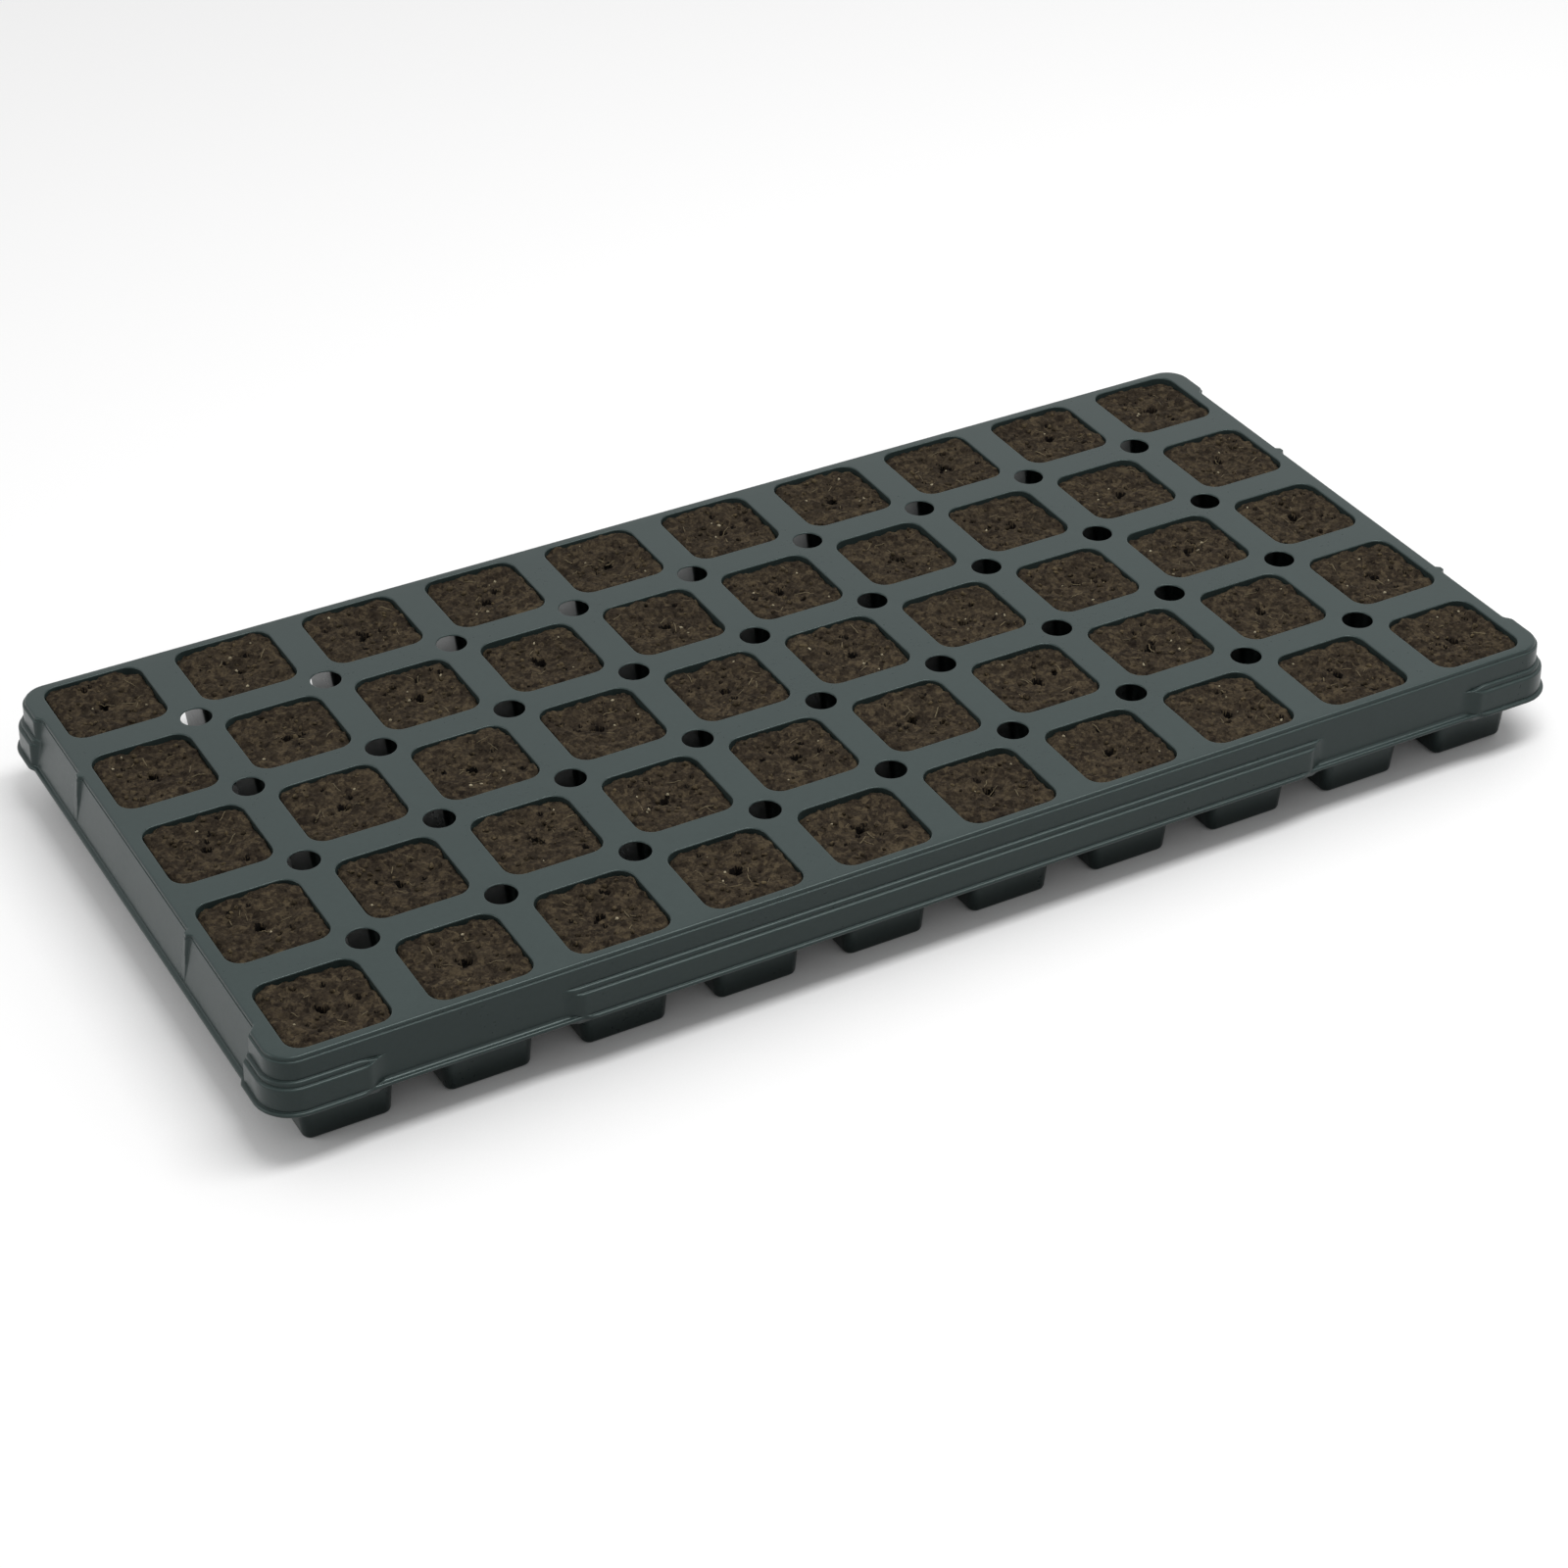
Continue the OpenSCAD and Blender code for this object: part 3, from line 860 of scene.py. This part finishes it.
def crumbly(name, dark, middle, light, size):
    """A matt material of loose crumbs."""
    material = bpy.data.materials.new(name)
    material.use_nodes = True
    tree = material.node_tree
    surface = tree.nodes["Principled BSDF"]
    set_inputs(surface, {"Roughness": 0.95, "Specular IOR Level": 0.08})
    colour = node_at(tree, "ShaderNodeGroup", node_tree=CRUMBS)
    set_inputs(colour, {"Crumb Size": size, "Dark": dark, "Middle": middle, "Light": light})
    relief = node_at(tree, "ShaderNodeBump", invert=True)
    set_inputs(relief, {"Strength": 0.5, "Distance": 0.0005})
    link(tree, colour.outputs["Color"], surface.inputs["Base Color"])
    link(tree, colour.outputs["Height"], relief.inputs["Height"])
    link(tree, relief.outputs["Normal"], surface.inputs["Normal"])
    return material


def finish(name, dark, light, patches, rough, bump, grain, specular, tint=(1, 1, 1, 1)):
    """A material with mottled colour, roughness that follows it, and a fine grain."""
    material = bpy.data.materials.new(name)
    material.use_nodes = True
    tree = material.node_tree
    surface = tree.nodes["Principled BSDF"]
    set_inputs(surface, {"Specular IOR Level": specular, "Specular Tint": tint})
    colour = node_at(tree, "ShaderNodeGroup", node_tree=MOTTLE)
    set_inputs(colour, {"Patch Size": patches[0], "Fleck Size": patches[1]})
    set_inputs(colour, {"Dark": dark, "Light": light})
    shine = node_at(tree, "ShaderNodeMapRange")
    set_inputs(shine, {"To Min": rough[0], "To Max": rough[1]})
    height = node_at(tree, "ShaderNodeGroup", node_tree=GRAIN)
    set_inputs(height, {"Coarse": grain[0], "Fine": grain[1]})
    relief = node_at(tree, "ShaderNodeBump")
    set_inputs(relief, {"Strength": bump, "Distance": 0.0002})
    link(tree, colour.outputs["Color"], surface.inputs["Base Color"])
    link(tree, colour.outputs["Mask"], shine.inputs["Value"])
    link(tree, shine.outputs["Result"], surface.inputs["Roughness"])
    link(tree, height.outputs["Height"], relief.inputs["Height"])
    link(tree, relief.outputs["Normal"], surface.inputs["Normal"])
    return material


def srgb(*levels):
    """Colour from red, green and blue as a screen shows them, 0 to 255."""
    linear = [((c / 255 + 0.055) / 1.055) ** 2.4 if c > 10 else c / 255 / 12.92 for c in levels]
    return (*linear, 1)


tray_plastic = finish(
    "satin_grey_plastic",
    dark=srgb(43, 54, 53),
    light=srgb(47, 58, 57),
    patches=(30, 500),
    rough=(0.27, 0.34),
    bump=0.04,
    grain=(1500, 5000),
    specular=0.33,
    tint=(0.86, 1, 0.98, 1),
)
peat_finish = crumbly("bound_peat", srgb(27, 22, 17), srgb(51, 44, 35), srgb(80, 70, 54), 480)
# Near-black peat for the pits: painted shade
pit_shade_finish = crumbly("painted_pit_shade", srgb(9, 7, 6), srgb(15, 12, 10), srgb(22, 18, 15), 600)
bark_finish = crumbly("bark_crumb", srgb(28, 23, 18), srgb(60, 52, 40), srgb(98, 86, 65), 300)
straw_finish = finish(
    "straw_strand",
    dark=srgb(66, 58, 42),
    light=srgb(112, 100, 76),
    patches=(200, 900),
    rough=(0.7, 0.85),
    bump=0.4,
    grain=(1500, 4000),
    specular=0.3,
)
grit_finish = finish(
    "pale_grain",
    dark=srgb(120, 110, 88),
    light=srgb(178, 168, 142),
    patches=(300, 1200),
    rough=(0.7, 0.9),
    bump=0.3,
    grain=(1500, 4000),
    specular=0.3,
)

# The pieces on their bodies

tray = moulded_tray(tray_plastic)
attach(tray, "tray")
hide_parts("tray")

# In the order of PEAT, STRAW, GRIT, BARK and PIT_SHADE, the last being the near-black painted shade of
# the pits
plug_finishes = [peat_finish, straw_finish, grit_finish, bark_finish, pit_shade_finish]
for r, y in enumerate(CELL_Y, 1):
    for c, x in enumerate(CELL_X, 1):
        place = f"row{r}_col{c:02d}"
        plug = peat_plug("peat_" + place, x, y, 100 * r + c, plug_finishes)
        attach(plug, "plug_" + place)
        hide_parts("plug_" + place)

# Floor, light and camera, in metres

FLOOR_HALF = 9
# Shade of the floor in the light that it throws back, and where it is seen
FLOOR_THROWS, FLOOR_SHOWS = (0.2, 0.2, 0.2, 1), (0.65, 0.65, 0.65, 1)
# Glow that makes the floor white where it is seen or mirrored, and the reach and samples of the ambient
# occlusion that dims it near the tray as painted shade
FLOOR_GLOW, SHADE_REACH, SHADE_SAMPLES = 0.4, 0.12, 6
# Direction of the sky's bright side, and how its strength grows towards there
SKY_WAY = (0.2, 0.8, 0.55)
SKY_FROM, SKY_TO = (0.1, 0.85), (0.09, 0.66)
# Camera: angles in degrees, place in metres, sensor and lens in millimetres
CAMERA_TURN, CAMERA_LIFT, CAMERA_ROLL = -28.51, 34.74, -0.43
CAMERA_PLACE = (-0.5588, -1.0252, 0.7980)
SENSOR, LENS = 36, 82.96


def seen_or_mirrored(tree):
    """1 where the surface is seen, straight or mirrored, and 0 for the light that it throws."""
    rays = node_at(tree, "ShaderNodeLightPath")
    shown = rays.outputs["Is Camera Ray"]
    for kind in ("Is Glossy Ray", "Is Transmission Ray"):
        either = node_at(tree, "ShaderNodeMath", operation="MAXIMUM")
        link(tree, shown, either.inputs[0])
        link(tree, rays.outputs[kind], either.inputs[1])
        shown = either.outputs[0]
    return shown


def pale_floor():
    """A wide floor that looks white where nothing shades it, with shade near the tray painted into its
    glow by ambient occlusion.
    """
    corners = [(-1, -1, 0), (1, -1, 0), (1, 1, 0), (-1, 1, 0)]
    mesh = bpy.data.meshes.new("floor")
    mesh.from_pydata([Vector(c) * FLOOR_HALF for c in corners], [], [(0, 1, 2, 3)])
    floor = bpy.data.objects.new("floor", mesh)
    bpy.context.scene.collection.objects.link(floor)
    material = bpy.data.materials.new("pale_floor")
    material.use_nodes = True
    tree = material.node_tree
    surface = tree.nodes["Principled BSDF"]
    set_inputs(surface, {"Roughness": 0.9, "Specular IOR Level": 0.1, "Emission Color": (1, 1, 1, 1)})
    seen = seen_or_mirrored(tree)
    mix = node_at(tree, "ShaderNodeMix", data_type="RGBA")
    set_inputs(mix, {MIX_A: FLOOR_THROWS, MIX_B: FLOOR_SHOWS})
    # Ambient occlusion dims the glow near and under the tray: painted shade on top of the floor's real
    # shadow
    ao_painted_shade = node_at(tree, "ShaderNodeAmbientOcclusion", samples=SHADE_SAMPLES)
    set_inputs(ao_painted_shade, {"Distance": SHADE_REACH})
    pale = node_at(tree, "ShaderNodeMath", operation="MULTIPLY")
    set_inputs(pale, {1: FLOOR_GLOW})
    glow = node_at(tree, "ShaderNodeMath", operation="MULTIPLY")
    link(tree, seen, mix.inputs["Factor"])
    link(tree, mix.outputs[MIX_RESULT], surface.inputs["Base Color"])
    link(tree, ao_painted_shade.outputs["AO"], pale.inputs[0])
    link(tree, pale.outputs[0], glow.inputs[0])
    link(tree, seen, glow.inputs[1])
    link(tree, glow.outputs[0], surface.inputs["Emission Strength"])
    mesh.materials.append(material)


def soft_sky():
    """Even light from above and behind, dimmer towards the front, and white where it is seen."""
    world = bpy.data.worlds.new("soft_sky")
    bpy.context.scene.world = world
    world.use_nodes = True
    tree = world.node_tree
    sky = tree.nodes["Background"]
    set_inputs(sky, {"Color": (1, 1, 1, 1)})
    way = node_at(tree, "ShaderNodeTexCoord")
    facing = node_at(tree, "ShaderNodeVectorMath", operation="DOT_PRODUCT")
    set_inputs(facing, {1: SKY_WAY})
    fade = node_at(tree, "ShaderNodeMapRange")
    set_inputs(fade, {"From Min": SKY_FROM[0], "From Max": SKY_FROM[1]})
    set_inputs(fade, {"To Min": SKY_TO[0], "To Max": SKY_TO[1]})
    # Number sockets of a Mix node: 0 is the factor, 2 and 3 are what it mixes
    mix = node_at(tree, "ShaderNodeMix", data_type="FLOAT")
    set_inputs(mix, {3: 1.0})
    link(tree, way.outputs["Generated"], facing.inputs[0])
    link(tree, facing.outputs["Value"], fade.inputs["Value"])
    link(tree, fade.outputs["Result"], mix.inputs[2])
    link(tree, seen_or_mirrored(tree), mix.inputs[0])
    link(tree, mix.outputs[0], sky.inputs["Strength"])


def lamp(name, place, target, size, power, along=(1, 0, 0)):
    """A soft rectangular light whose first side runs along the given direction."""
    data = bpy.data.lights.new(name, "AREA")
    data.shape = "RECTANGLE"
    data.size, data.size_y = size
    data.energy = power
    made = bpy.data.objects.new(name, data)
    bpy.context.scene.collection.objects.link(made)
    back = (Vector(place) - Vector(target)).normalized()
    right = (Vector(along) - back * back.dot(along)).normalized()
    turned = Matrix((right, back.cross(right), back)).transposed().to_4x4()
    made.matrix_world = Matrix.Translation(place) @ turned


def photo_camera():
    """The camera at the photograph's place and angle."""
    turn, lift, roll = (math.radians(d) for d in (CAMERA_TURN, CAMERA_LIFT, CAMERA_ROLL))
    level = math.cos(lift)
    back = Vector((math.sin(turn) * level, -math.cos(turn) * level, math.sin(lift)))
    right = Vector((0, 0, 1)).cross(back).normalized()
    up = back.cross(right)
    right, up = (
        math.cos(roll) * right + math.sin(roll) * up,
        math.cos(roll) * up - math.sin(roll) * right,
    )
    data = bpy.data.cameras.new("photo_camera")
    data.sensor_width, data.lens = SENSOR, LENS
    data.clip_start, data.clip_end = 0.01, 50
    camera = bpy.data.objects.new("photo_camera", data)
    bpy.context.scene.collection.objects.link(camera)
    turned = Matrix((right, up, back)).transposed().to_4x4()
    camera.matrix_world = Matrix.Translation(CAMERA_PLACE) @ turned
    bpy.context.scene.camera = camera


pale_floor()
soft_sky()
lamp("overhead_light", place=(0.38, -0.3, 1.5), target=(0.38, -0.3, 0), size=(1.35, 0.4), power=20)
lamp("left_light", place=(-1.8, 0.4, 0.7), target=(0, 0, 0), size=(1.0, 0.7), power=6, along=(0, 1, 0))
photo_camera()
bpy.context.scene.view_settings.view_transform = "Standard"
